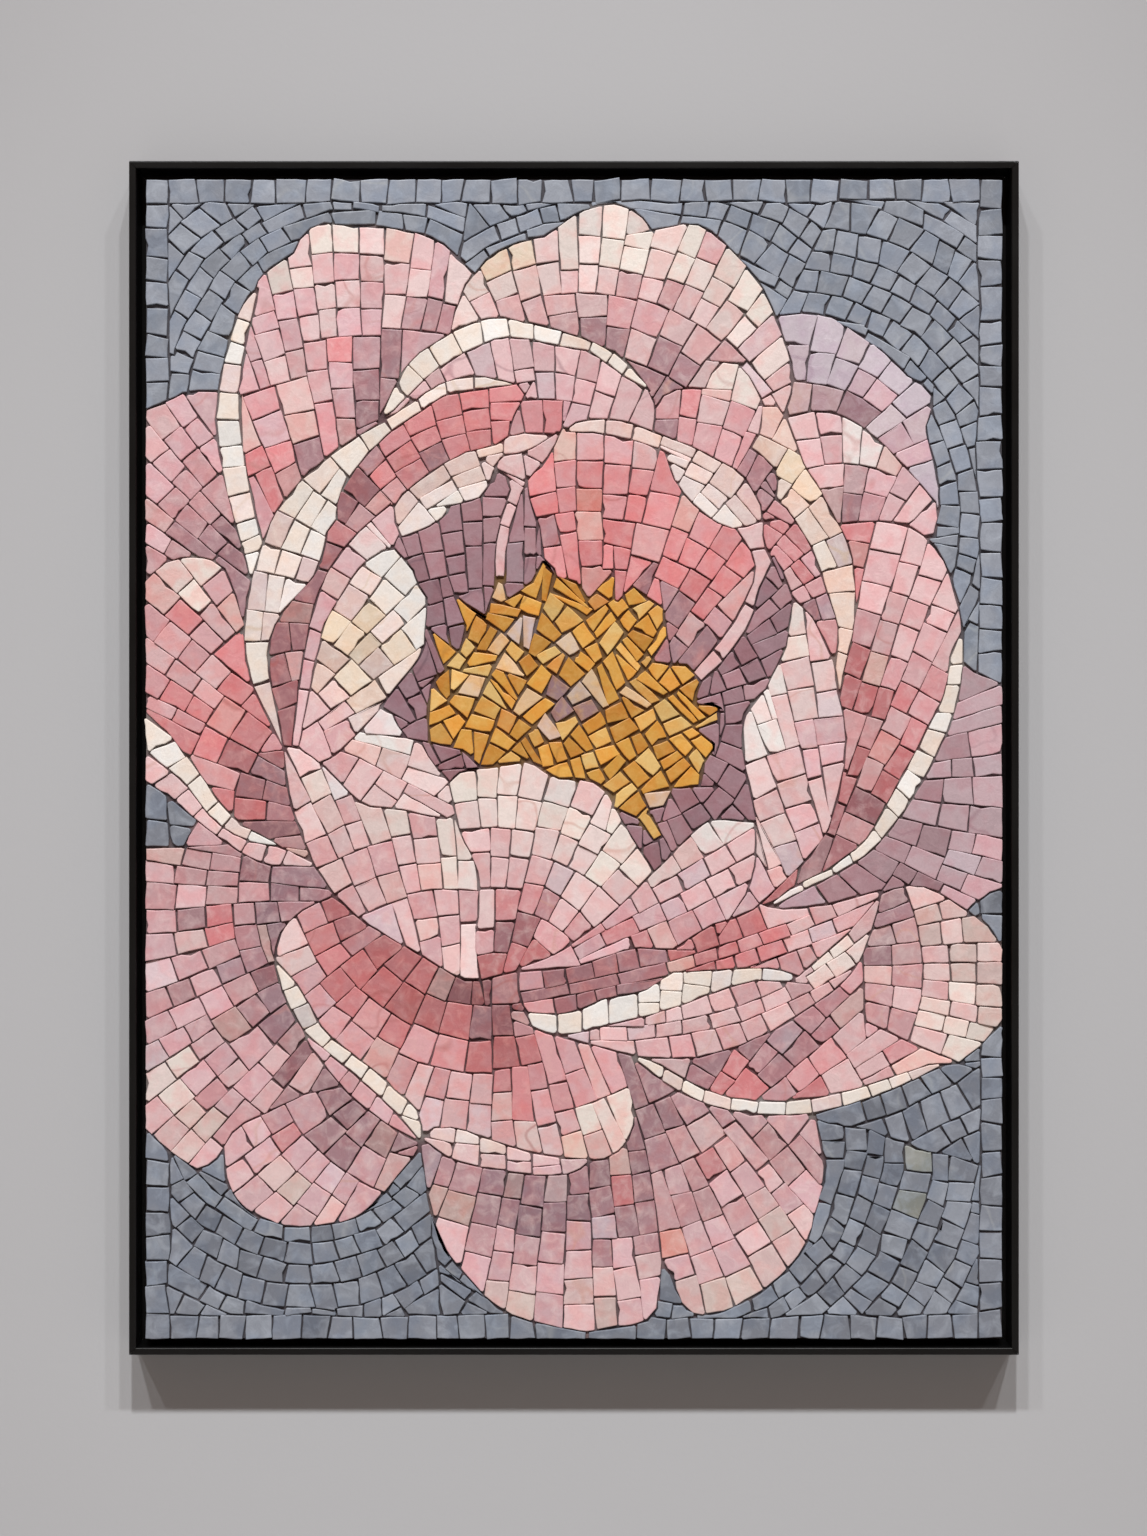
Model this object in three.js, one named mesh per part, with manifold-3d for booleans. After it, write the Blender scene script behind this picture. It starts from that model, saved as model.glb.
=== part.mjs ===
// Mosaic panel: a full-blown flower in hand-cut marble, set on a board in a slim black tray frame.
// Millimetres, +Z up, the picture faces -Y and the wall plane is y = 0.
// The origin is the middle of the top rail's back flange.
import * as THREE from 'three';
import { mergeVertices } from 'three/addons/utils/BufferGeometryUtils.js';
import Module from 'manifold-3d';

const wasm = await Module();
wasm.setup();

// ---- driving sizes ----
const PIC_W = 580;            // width of the stone picture
const PIC_H = 785;            // height of the stone picture
const SIDE_GAP = 5.8;         // shadow gap between stone and frame, left and right
const TOP_GAP = 6.8;          // the same above the picture
const FOOT_GAP = 5.4;         // the same below it
const FACE = 5;               // front face width of a rail
const DEPTH = 38;             // frame depth, wall to front lip
const FLANGE = 22;            // back flange of a rail, reaching in behind the board
const FLANGE_T = 4;           // flange thickness
const BOARD_T = 18;           // backing board
const BED_T = 3;              // dark setting bed
const STONE_T = 10;           // tesserae
const FIT = 0.3;              // gap between separate pieces
const JOINT = 0.4;            // gap round one petal's stones
const STEP = 10.6;            // longest straight run on a curved outline
const OUT_W = PIC_W + 2 * (SIDE_GAP + FACE);
const OUT_H = PIC_H + TOP_GAP + FOOT_GAP + 2 * FACE;
const HANG = OUT_H - FLANGE / 2;           // height of the origin above the frame's foot
const PIC_Z = FACE + FOOT_GAP - HANG;      // picture's lower edge from the origin
const PIC_X = -PIC_W / 2;                  // picture's left edge from the origin
const BOARD_BACK = -(FLANGE_T + FIT);      // back faces of the three layers, as y
const BED_BACK = BOARD_BACK - BOARD_T - FIT;
const STONE_BACK = BED_BACK - BED_T - FIT;

const COLOURS = {
  slate: '#838b95', cream: '#e9e1d7', blush: '#e6c4c4', rose: '#dba6ac', coral: '#d7868a',
  mauve: '#a07c88', plum: '#8a6a77', lilac: '#cdbcc8', gold: '#d3a146',
  frame: '#161617', board: '#b79a74', bed: '#3a3230',
};

// ---- the drawing ----
// Every petal is a closed outline in millimetres from the picture's lower left corner.
// A third value of 1 marks a sharp corner; all other points lie on a smooth curve.
// The order is from the back of the flower to the front: a later outline covers an earlier one.
const PETALS = [
  ['ground_upper', 'slate', [[-2, 600, 1], [-2, 787, 1], [582, 787, 1], [582, 430, 1], [500, 430, 1],
    [300, 600, 1]]],
  ['ground_left', 'slate', [[-2, 390, 1], [50, 370, 1], [60, 320, 1], [-2, 320, 1]]],
  ['ground_right', 'slate', [[582, 315, 1], [545, 310, 1], [545, 255, 1], [582, 255, 1]]],
  ['ground_lower_left', 'slate', [[-2, -2, 1], [299, -2, 1], [299, 30, 1], [200, 145, 1], [60, 160, 1],
    [-2, 160, 1]]],
  ['ground_lower_right', 'slate', [[299.4, -2, 1], [582, -2, 1], [582, 225, 1], [430, 170, 1],
    [340, 70, 1], [299.4, 30, 1]]],
  ['petal_left_back', 'rose', [[-2, 627, 1], [12, 633], [30, 641], [56, 641, 1], [64, 600, 1],
    [84, 540, 1], [76, 478, 1], [40, 478, 1], [-2, 500, 1]]],
  ['petal_right_back', 'lilac', [[422, 690, 1], [446, 694], [465, 691], [482, 680], [500, 667],
    [516, 651], [527, 645], [533, 637], [528, 618], [531, 603], [535, 588], [537, 568], [534, 543, 1],
    [500, 540, 1], [440, 600, 1], [430, 650, 1]]],
  ['petal_far_right', 'mauve', [[543, 467, 1], [560, 452], [582, 442, 1], [582, 306, 1], [567, 300],
    [554, 288, 1], [515, 296, 1], [470, 290, 1], [420, 286, 1], [470, 330, 1], [520, 395, 1]]],
  ['petal_low_left_back', 'rose', [[-2, 332, 1], [27, 333, 1], [31, 343], [38, 353, 1], [90, 332, 1],
    [118, 324, 1], [135, 300, 1], [120, 215, 1], [188, 133, 1], [120, 145, 1], [62, 135, 1],
    [53, 129, 1], [46, 120], [35, 115, 1], [20, 124], [11, 132], [-2, 144, 1]]],
  ['petal_low_left_lobe', 'blush', [[53, 130, 1], [62, 143], [80, 152], [110, 166], [140, 172, 1],
    [165, 158, 1], [188, 132, 1], [172, 112], [156, 93], [145, 84], [130, 79], [100, 76], [80, 82],
    [65, 91], [57, 102], [54, 115]]],
  ['petal_upper_left', 'rose', [[78, 524, 1], [66, 560], [60, 600], [60, 650], [68, 690], [77, 716, 1],
    [88, 727], [98, 731], [105, 744], [118, 755], [140, 753], [165, 752], [185, 748], [203, 740],
    [215, 728], [224, 719, 1], [230, 680, 1], [170, 600, 1], [110, 550, 1]]],
  ['rim_upper_left', 'cream', [[77, 712, 1], [66, 700], [60, 685], [55, 667], [50.5, 645], [48, 618],
    [52, 590], [58, 562], [66, 535], [74, 505, 1], [86, 520, 1], [78, 543], [72, 568], [66.5, 600],
    [63, 640], [66, 665], [71.5, 690], [76, 705]]],
  ['petal_upper_centre', 'blush', [[206, 676, 1], [210, 696], [217, 713, 1], [228, 727], [241, 737],
    [255, 743], [270, 746], [285, 757], [300, 765], [318, 768], [332, 762], [343, 750, 1], [350, 751],
    [368, 755], [383, 749], [395, 738], [407, 726], [418, 710], [427, 690], [434, 672], [438, 650],
    [436, 637], [430, 620, 1], [400, 600, 1], [350, 605, 1], [300, 650, 1], [230, 660, 1]]],
  ['petal_centre_fold', 'rose', [[343, 600, 1], [345, 628], [352, 639], [362, 643], [379, 643, 1],
    [384, 654], [391, 661], [399, 661], [406, 655], [411, 647], [418, 632, 1], [416, 615],
    [409, 603, 1], [430, 592, 1], [430, 560, 1], [390, 560, 1]]],
  ['petal_right_small', 'rose', [[432, 623, 1], [455, 628], [475, 623], [495, 609], [512, 592],
    [527, 576], [536, 562], [534, 545, 1], [515, 540, 1], [470, 540, 1], [445, 580, 1]]],
  ['petal_right_big', 'rose', [[466, 551, 1], [485, 553], [500, 553], [518, 549], [533, 537], [543, 520],
    [549, 500], [552, 480], [553, 464], [551, 445], [548, 430], [541, 415], [526, 385], [507, 355],
    [484, 331], [455, 312], [425, 297, 1], [395, 284, 1], [440, 340, 1], [455, 400, 1], [455, 480, 1]]],
  ['rim_right_big', 'cream', [[553, 480, 1], [553.5, 464], [552, 445], [548, 427], [543, 413],
    [537, 399], [530, 385], [520, 368], [509, 352], [498, 338], [487, 327], [470, 317], [455, 309],
    [438, 300], [420, 291, 1], [436, 304], [458, 315], [473, 325], [486, 336], [495, 349], [503, 364],
    [512, 380], [520, 395], [528, 411], [537, 427], [543, 445], [545, 463]]],
  ['rim_right_long', 'cream', [[418, 631, 1], [428, 631], [437, 615], [443, 597], [452, 581],
    [462, 565], [470, 549], [477, 532], [480, 512], [480.5, 492], [478, 475], [473, 455, 1], [470, 432, 1],
    [467, 455], [468, 475], [466, 492], [461, 506], [456, 522], [450, 537], [441, 549], [433, 560],
    [427, 570, 1], [428, 582], [425, 591], [410, 603, 1], [416, 615]]],
  ['petal_left_middle', 'coral', [[-2, 511, 1], [14, 525], [32, 529], [50, 525], [58, 512], [66, 486],
    [72, 450], [80, 425], [96, 404, 1], [110, 360, 1], [116, 323, 1], [80, 329, 1], [50, 345, 1],
    [-2, 390, 1]]],
  ['rim_left_middle', 'cream', [[-2, 424, 1], [18, 407], [35, 385], [50, 363], [64, 349], [92, 333, 1],
    [70, 337], [48, 350], [25, 378], [10, 390], [-2, 398, 1]]],
  ['turn_left_middle', 'blush', [[-2, 397.5, 1], [10, 389.5], [25, 377.5], [48, 349.5], [70, 336.5],
    [92, 332.5], [118, 320, 1], [80, 322], [58, 334], [37, 349], [22, 363], [-2, 379, 1]]],
  ['petal_bottom_left', 'blush', [[186, 131, 1], [190, 110], [193, 90], [198, 72], [206, 56],
    [218, 42], [231, 28], [245, 18], [262, 12], [280, 8], [300, 5], [320, 9], [336, 11], [345, 18],
    [347, 34], [350, 52, 1], [344, 100], [336, 140], [322, 196, 1], [250, 150, 1]]],
  ['petal_bottom_right', 'blush', [[350, 52, 1], [357, 42], [361, 27], [373, 17], [388, 18], [405, 25],
    [420, 34], [437, 50], [449, 70], [454, 90], [460, 110], [457, 130], [452, 158, 1], [380, 180, 1],
    [316, 200, 1], [336, 140], [344, 100]]],
  ['petal_low_right', 'blush', [[478, 262, 1], [497, 301, 1], [513, 306], [530, 305], [545, 297],
    [560, 287], [573, 276], [581, 262, 1], [582, 218, 1], [566, 200], [551, 187, 1], [530, 195],
    [508, 205], [487, 215, 1], [470, 225, 1]]],
  ['petal_low_right_front', 'rose', [[336, 192, 1], [350, 180], [385, 160], [430, 155],
    [480, 163], [538, 186, 1], [551, 187, 1], [530, 195], [508, 205], [487, 215, 1], [485, 262, 1],
    [440, 240, 1], [380, 205, 1]]],
  ['rim_low_right', 'cream', [[328, 193, 1], [343, 180], [358, 170], [375, 161], [395, 155], [420, 152],
    [445, 152], [470, 157], [495, 165], [518, 175], [541, 186, 1], [528, 185], [505, 177], [480, 169],
    [455, 163], [425, 160.5], [400, 162], [380, 168], [362, 177], [345, 187]]],
  ['petal_low_left', 'coral', [[126, 299, 1], [108, 291], [96, 281], [89, 268], [88, 254, 1],
    [104, 235], [122, 205], [160, 177], [187, 140, 1], [220, 139], [250, 129], [280, 123], [302, 121],
    [315, 124], [326, 134], [331, 149], [328, 168], [318, 195, 1], [280, 225, 1], [200, 290, 1]]],
  ['rim_low_left', 'cream', [[87.5, 256, 1], [92, 238], [99, 223], [108, 208], [121, 196], [136, 184],
    [150, 172], [163, 160], [173, 150], [187, 133, 1], [186, 146], [182, 158], [172, 165], [158, 179],
    [140, 193], [122, 207], [112, 224], [101, 242]]],
  ['turn_low_left', 'rose', [[107.5, 207.5, 1], [120.5, 195.5], [135.5, 183.5], [149.5, 171.5],
    [162.5, 159.5], [172.5, 149.5], [186, 133, 1], [174, 139], [158, 150], [140, 164], [125, 181],
    [113, 197]]],
  ['rim_low_centre', 'cream', [[187, 136, 1], [196, 143], [212, 142], [230, 136], [250, 129], [275, 123],
    [303, 121.5, 1], [292, 114], [275, 111], [250, 113], [225, 117], [205, 123]]],
  ['boat_inside', 'coral', [[252, 255, 1], [300, 270, 1], [360, 290, 1], [400, 300, 1], [425, 291],
    [455, 293], [478, 298], [497, 303, 1], [492, 285, 1], [450, 245, 1], [350, 235, 1], [290, 215, 1],
    [262, 217], [254, 230]]],
  ['boat_turn', 'blush', [[262, 212, 1], [275, 206], [300, 200], [325, 193], [350, 190], [375, 191],
    [400, 198], [425, 209], [447, 223], [468, 238], [482, 254], [491, 275], [497.5, 301, 1], [484, 283],
    [468, 267], [452, 254], [442, 245, 1], [400, 243, 1], [340, 225, 1], [290, 213, 1]]],
  ['boat_rim', 'cream', [[257, 221, 1], [262, 211], [278, 206.5], [297, 208], [318, 214], [340, 219],
    [360, 225], [380, 233], [400, 240], [418, 243], [436, 242, 1], [442, 245.5, 1], [430, 249.5],
    [410, 251], [390, 249.5], [370, 248.5], [353, 247], [345, 239], [330, 233.5], [310, 230],
    [295, 223], [278, 219.5]]],
  ['petal_cup_right', 'blush', [[437, 501, 1], [435, 487], [433, 469], [425, 456], [415, 449],
    [419, 440], [414, 431], [406, 425], [404, 410], [405, 392], [409, 374], [413, 352], [413, 330],
    [408, 308], [392, 283, 1], [410, 290], [424, 302], [440, 317], [453, 331], [463, 348], [469, 370],
    [473, 390], [474, 408], [472, 425], [468, 440], [467, 455], [462, 467], [456, 480], [447, 493]]],
  ['fold_right', 'rose', [[412, 554, 1], [420, 560, 1], [424, 568], [430, 567], [437, 557], [446, 544],
    [452, 532], [457, 519], [461, 505], [466, 492], [469, 478], [467, 460, 1], [456, 480], [447, 494],
    [438, 501], [434, 512], [425, 526], [418, 540]]],
  ['well_right', 'plum', [[350, 500, 1], [371, 447, 1], [384, 450, 1], [395, 510, 1], [425, 530, 1],
    [432, 518], [438, 500, 1], [436, 487], [434, 470], [426, 454], [420, 440, 1], [406, 425],
    [404, 410], [405, 392], [414, 348, 1], [380, 346, 1], [355, 322, 1], [342, 309, 1], [312, 366, 1],
    [330, 440, 1]]],
  ['ring_upper', 'mauve', [[158, 622, 1], [175, 643], [200, 662], [230, 680], [262, 680], [300, 674],
    [325, 656], [341, 641], [345, 628], [343, 612, 1], [310, 605, 1], [280, 608, 1], [245, 605, 1],
    [240, 635, 1], [200, 640, 1]]],
  ['rim_ring_upper', 'cream', [[159, 623, 1], [169, 645], [180, 662], [195, 673], [208, 681],
    [222, 688], [240, 691], [258, 688], [280, 682], [300, 675.5], [317, 667], [331, 655], [343, 641, 1],
    [325, 651], [312, 661], [299, 669], [280, 672], [258, 677], [240, 677.5], [222, 670.5], [208, 663],
    [195, 655], [182, 643], [171, 631]]],
  ['ring_inner', 'coral', [[251, 646, 1], [257, 643], [256, 637], [249, 625], [245, 608, 1], [220, 590, 1],
    [180, 560, 1], [140, 520, 1], [115, 470, 1], [103, 400, 1], [94, 399, 1], [80, 450, 1], [84, 500, 1],
    [112, 540, 1], [128, 590, 1], [180, 635, 1]]],
  ['rim_ring_left', 'cream', [[93.5, 400, 1], [84, 417], [75, 436], [68.5, 458], [67, 480], [69, 500],
    [74, 520], [80, 540], [88, 558], [101, 576], [118, 592], [135, 605], [153, 616], [175, 629],
    [191, 641], [207, 649], [222, 651], [237, 649.5], [251, 646, 1], [237, 644], [215, 642],
    [203, 639], [181, 624], [162, 611], [147, 595], [137, 582], [130, 568], [129, 555, 1], [124, 549],
    [120, 531], [114, 517], [100, 501], [89, 486], [83, 466], [84, 445], [89, 424]]],
  ['cup_left_outer', 'rose', [[99.5, 401, 1], [102, 425], [106, 455], [112, 485], [120, 512],
    [133, 533], [149, 550], [166, 565, 1], [175, 544, 1], [160, 525, 1], [135, 480, 1], [115, 400, 1]]],
  ['cup_left_inner', 'cream', [[104, 401, 1], [110, 432], [116, 462], [123, 487], [133, 504],
    [143, 519], [156, 531], [171, 536, 1], [174, 529], [181, 521], [185, 510], [191, 500], [189, 485],
    [190, 474], [185, 459], [175, 448], [159, 429, 1], [150, 400, 1], [118, 385, 1]]],
  ['cup_left_lower', 'blush', [[160, 427, 1], [168, 423], [172, 413], [178, 406], [186, 405], [192, 395],
    [199, 384], [207, 377], [213, 366], [213, 345, 1], [180, 345, 1], [150, 350, 1], [116, 389, 1],
    [130, 396], [139, 405], [150, 417]]],
  ['well_left', 'plum', [[168, 536, 1], [174, 548, 1], [205, 566, 1], [236, 580, 1], [238, 588, 1],
    [250, 584, 1], [246, 540, 1], [243, 500, 1], [225, 450, 1], [238, 392, 1], [226, 384, 1],
    [207, 376, 1], [195, 389], [186, 405, 1], [178, 406], [172, 413], [168, 423], [160, 428, 1],
    [175, 448], [185, 459], [190, 474], [189, 485], [191, 500], [185, 510], [181, 521], [174, 529]]],
  ['lip_upper_left', 'cream', [[277, 612, 1], [262, 613], [248, 611], [238, 605], [215, 599],
    [197, 589], [179, 575.5], [169, 566], [168, 558], [173, 543, 1], [190, 549], [199, 554], [207, 565],
    [221, 567], [230, 573], [234, 583], [240, 596], [255, 599], [266, 604]]],
  ['well_top', 'plum', [[258, 582, 1], [250, 560, 1], [242, 535, 1], [242, 500, 1], [290, 495, 1],
    [280, 520, 1], [275, 545, 1], [268, 570, 1]]],
  ['strip_inner_left', 'rose', [[236, 590, 1], [240, 596.5], [255, 599.5], [266, 604.5], [278, 613, 1],
    [283, 613, 1], [275, 596], [266, 587], [257, 579], [252, 565], [247, 551], [244, 535],
    [243, 512, 1], [237, 512, 1], [237, 535], [240, 551], [245, 568], [248, 580]]],
  ['petal_inner_top', 'coral', [[282, 616, 1], [300, 616], [335, 610], [352, 602, 1], [372, 570, 1],
    [395, 552, 1], [416, 535, 1], [414, 515, 1], [400, 488], [388, 472], [368, 448, 1], [336, 462, 1],
    [325, 495, 1], [280, 500, 1], [279, 519], [270, 527], [268, 545], [263, 560], [258, 580],
    [268, 591], [275, 600]]],
  ['rim_inner_right', 'blush', [[398, 551, 1], [418, 553, 1], [418, 540], [424, 526, 1], [415, 508, 1],
    [412, 494], [406, 480], [396, 465], [385, 453], [372, 442, 1], [369, 449, 1], [380, 461],
    [392, 475], [401, 489], [408, 503], [413, 517], [411, 531], [405, 541]]],
  ['lip_inner_right', 'cream', [[283, 614, 1], [289, 619], [300, 621.5], [315, 622], [329, 619],
    [343, 614], [355, 609], [367, 605], [381, 598], [394, 591], [404, 584], [411, 573], [417, 562],
    [417.5, 554, 1], [404, 549], [395, 549], [382, 556], [370, 566], [361, 577], [355, 589],
    [351, 601, 1], [336, 607], [318, 611], [300, 614]]],
  ['cup_front_left', 'blush', [[94, 401, 1], [102, 400], [118, 390], [130, 378], [140, 367],
    [150, 361], [175, 358], [190, 354], [203, 352], [213, 356, 1], [223, 321], [226, 305], [226, 285],
    [223, 268], [227, 243, 1], [216, 243], [204, 249], [190, 258], [170, 270], [150, 281],
    [132, 296], [120, 311], [112, 326], [105, 343], [98, 365], [95, 385]]],
  ['cup_front_centre', 'blush', [[227, 243, 1], [223, 268], [226, 290], [224, 320], [216, 336],
    [211, 350], [208, 366], [206, 378], [212, 383], [225, 386], [240, 387], [258, 391], [270, 384],
    [280, 379], [300, 378], [312, 370], [320, 355], [327, 342], [335, 330], [344, 316, 1],
    [325, 296], [300, 275], [275, 259], [250, 249, 1]]],
  ['cup_front_right', 'rose', [[250, 249, 1], [275, 259], [300, 275], [325, 296], [344, 316, 1],
    [355, 326], [366, 338], [381, 350], [412, 350, 1], [413, 337], [412, 320], [408, 305],
    [395, 284, 1], [385, 281], [370, 273], [357, 264], [338, 265], [318, 262], [298, 254],
    [275, 250]]],
  ['stamens', 'gold', [[192, 404, 1], [191, 425, 1], [194, 445, 1], [203, 452, 1], [192, 480, 1],
    [213, 464, 1], [217, 482, 1], [209, 504, 1], [230, 488, 1], [240, 519, 1], [245, 500, 1],
    [262, 512, 1], [269, 527, 1], [279, 515, 1], [292, 512, 1], [300, 500, 1], [317, 520, 1],
    [318, 497, 1], [329, 509, 1], [350, 495, 1], [353, 476, 1], [342, 458, 1], [366, 456, 1],
    [376, 445, 1], [371, 430, 1], [388, 428, 1], [388, 418, 1], [372, 413, 1], [386, 401, 1],
    [378, 390, 1], [375, 374, 1], [356, 373, 1], [352, 361, 1], [337, 357, 1], [342, 354, 1],
    [350, 340, 1], [344, 337, 1], [334, 352, 1], [316, 360, 1], [318, 368, 1], [300, 379, 1],
    [280, 379, 1], [268, 386, 1], [258, 392, 1], [240, 388, 1], [226, 387, 1], [214, 399, 1]]],
];

// ---- outlines ----
const pt = (a) => new THREE.Vector2(a[0], a[1]);

// One smooth run between two corners, or the whole loop when there is no corner.
function run(points, closed) {
  const curve = new THREE.CatmullRomCurve3(
    points.map((p) => new THREE.Vector3(p[0], p[1], 0)), closed, 'centripetal');
  const count = Math.max(points.length < 3 ? 1 : 3, Math.round(curve.getLength() / STEP));
  return curve.getSpacedPoints(count).slice(0, count).map((v) => new THREE.Vector2(v.x, v.y));
}

function outline(points) {
  const first = points.findIndex((p) => p[2]);
  if (first < 0) return run(points, true);
  const ring = [...points.slice(first), ...points.slice(0, first), points[first]];
  const out = [];
  let start = 0;
  for (let i = 1; i < ring.length; i++) {
    if (!ring[i][2]) continue;
    const part = ring.slice(start, i + 1);
    out.push(...(part.length === 2 ? [pt(part[0])] : run(part, false)));
    start = i;
  }
  return THREE.ShapeUtils.isClockWise(out) ? out.reverse() : out;
}

// The same outline moved outward by d, mitred at the corners (counter-clockwise input).
function grown(loop, d) {
  const n = loop.length;
  return loop.map((p, i) => {
    const a = loop[(i + n - 1) % n], b = loop[(i + 1) % n];
    const e = p.clone().sub(a).normalize(), f = b.clone().sub(p).normalize();
    const m = new THREE.Vector2(e.y + f.y, -e.x - f.x);
    const len = m.length();
    if (len < 0.2) return p.clone().add(e.multiplyScalar(d));
    m.divideScalar(len);
    return p.clone().add(m.multiplyScalar(Math.min(d / Math.max(m.dot(new THREE.Vector2(e.y, -e.x)), 0.4),
      2.2 * d)));
  });
}

// ---- solids ----
// A plate with the given outline in x, z and its front at y = front.
function plate(loop, front, thick) {
  const g = new THREE.ExtrudeGeometry(new THREE.Shape(loop), { depth: thick, bevelEnabled: false });
  g.rotateX(Math.PI / 2);
  g.translate(0, front + thick, 0);
  return g;
}

function solid(geometry) {
  const g = geometry.index ? geometry : geometry.clone();
  g.deleteAttribute('normal');
  g.deleteAttribute('uv');
  const m = mergeVertices(g, 1e-4);
  return new wasm.Manifold(new wasm.Mesh({
    numProp: 3, vertProperties: new Float32Array(m.attributes.position.array),
    triVerts: new Uint32Array(m.index.array) }));
}

function geometry(body) {
  const mesh = body.getMesh();
  const g = new THREE.BufferGeometry();
  g.setAttribute('position', new THREE.BufferAttribute(new Float32Array(mesh.vertProperties), 3));
  g.setIndex(new THREE.BufferAttribute(new Uint32Array(mesh.triVerts), 1));
  return g;
}

function piece(name, slot, geo) {
  const flat = geo.index ? geo.toNonIndexed() : geo;
  flat.computeVertexNormals();
  const rough = slot === 'frame' ? 0.45 : 0.6;
  const mesh = new THREE.Mesh(flat, new THREE.MeshStandardMaterial(
    { color: COLOURS[slot], roughness: rough, metalness: slot === 'frame' ? 0.4 : 0 }));
  mesh.name = name;
  return mesh;
}


// ---- frame: four mitred L rails ----
// a runs inward from the frame's outer edge, d forward from the wall.
function railSection() {
  const lip = 0.6;
  const pts = [[0, 0], [FLANGE, 0], [FLANGE, FLANGE_T], [FACE, FLANGE_T], [FACE, DEPTH - lip],
    [FACE - lip, DEPTH], [lip, DEPTH], [0, DEPTH - lip]];
  return new THREE.Shape(pts.map(pt));
}

function rail(length) {
  const g = new THREE.ExtrudeGeometry(railSection(), { depth: 1, bevelEnabled: false });
  const p = g.attributes.position;
  for (let i = 0; i < p.count; i++) {
    const a = p.getX(i), d = p.getY(i), side = p.getZ(i) > 0.5 ? 1 : -1;
    p.setXYZ(i, side * (length / 2 - a - FIT / 2), -d, a);
  }
  return g;
}

// Built along the foot of the frame, then turned about the wall's normal to its own side.
function placedRail(length, reach, quarter) {
  const g = rail(length);
  g.translate(0, 0, -reach / 2);
  g.rotateY(quarter * Math.PI / 2);
  g.translate(0, 0, OUT_H / 2 - HANG);
  return g;
}

// ---- board and bed ----
function sheet(back, thick) {
  const g = new THREE.BoxGeometry(PIC_W, thick, PIC_H);
  g.translate(0, back - thick / 2, PIC_Z + PIC_H / 2);
  return g;
}

// ---- stone picture ----
const inPlace = (loop, front, thick) => {
  const g = plate(loop, front, thick);
  g.translate(PIC_X, 0, PIC_Z);
  return g;
};

const boxOf = (loop) => new THREE.Box2().setFromPoints(loop);

function stones() {
  const front = STONE_BACK - STONE_T;
  const loops = PETALS.map(([, , points]) => outline(points));
  const cutters = loops.map((l) => solid(inPlace(grown(l, JOINT), front - 1, STONE_T + 2)));
  const field = solid(sheet(STONE_BACK + 1, STONE_T + 2));
  return PETALS.map(([name, slot], i) => {
    let body = solid(inPlace(loops[i], front, STONE_T)).intersect(field);
    for (let j = i + 1; j < loops.length; j++) {
      if (boxOf(loops[i]).intersectsBox(boxOf(loops[j]).expandByScalar(1))) {
        body = body.subtract(cutters[j]);
      }
    }
    const parts = body.decompose().sort((a, b) => b.volume() - a.volume());
    return piece(name, slot, geometry(parts[0]));
  });
}

const group = new THREE.Group();
group.name = 'mosaic_panel';
group.add(piece('frame_bottom', 'frame', placedRail(OUT_W, OUT_H, 0)));
group.add(piece('frame_left', 'frame', placedRail(OUT_H, OUT_W, 1)));
group.add(piece('frame_top', 'frame', placedRail(OUT_W, OUT_H, 2)));
group.add(piece('frame_right', 'frame', placedRail(OUT_H, OUT_W, 3)));
group.add(piece('backing_board', 'board', sheet(BOARD_BACK, BOARD_T)));
group.add(piece('setting_bed', 'bed', sheet(BED_BACK, BED_T)));
for (const m of stones()) group.add(m);
export default group;
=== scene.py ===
"""The looks of the mosaic panel: hand-cut marble stones on a dark bed, in a black aluminium tray frame.

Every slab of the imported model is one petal, rim, lip or piece of ground, or the stamens. Its front face is
cut into rows of stones that run with the petal, and the stamens' into shards. Each stone is then set apart,
given its thickness, worn corners and a broken edge, tilted a little as a hand sets it, and coloured from
the area's own range of marbles.
Lengths are millimetres until a piece is placed, and picture places are measured from the picture's lower
left corner.
"""

import math
import random

import bmesh
import bpy
from mathutils import Matrix, Vector, kdtree, noise


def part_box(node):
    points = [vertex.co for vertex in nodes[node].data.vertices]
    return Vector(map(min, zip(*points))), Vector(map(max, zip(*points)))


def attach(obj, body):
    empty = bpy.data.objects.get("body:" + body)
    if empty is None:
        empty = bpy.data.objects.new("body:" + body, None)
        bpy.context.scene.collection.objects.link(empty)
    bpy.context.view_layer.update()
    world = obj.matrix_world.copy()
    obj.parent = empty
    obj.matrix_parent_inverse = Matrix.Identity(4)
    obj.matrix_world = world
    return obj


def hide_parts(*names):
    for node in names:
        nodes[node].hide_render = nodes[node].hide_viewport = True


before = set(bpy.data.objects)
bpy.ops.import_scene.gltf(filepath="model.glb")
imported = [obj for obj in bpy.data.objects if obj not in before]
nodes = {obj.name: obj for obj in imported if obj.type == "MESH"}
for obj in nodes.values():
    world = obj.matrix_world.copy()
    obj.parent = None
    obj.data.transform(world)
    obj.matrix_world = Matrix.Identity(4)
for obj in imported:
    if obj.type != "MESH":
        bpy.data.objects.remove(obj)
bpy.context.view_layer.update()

MM = 0.001
noise.seed_set(11)               # else the rows would wander another way in every run
BED_LO, BED_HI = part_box("setting_bed")
PICTURE = Vector((BED_LO.x, BED_LO.z)) / MM            # the picture's lower left corner in the frame
PIC_W, PIC_H = (BED_HI.x - BED_LO.x) / MM, (BED_HI.z - BED_LO.z) / MM
STONE_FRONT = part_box("ground_upper")[0].y / MM
BED_T = (BED_HI.y - BED_LO.y) / MM
STONE_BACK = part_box("ground_upper")[1].y / MM
STONE_T = STONE_BACK - STONE_FRONT
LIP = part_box("frame_left")[0].y / MM                   # the frame's front edge

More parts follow.
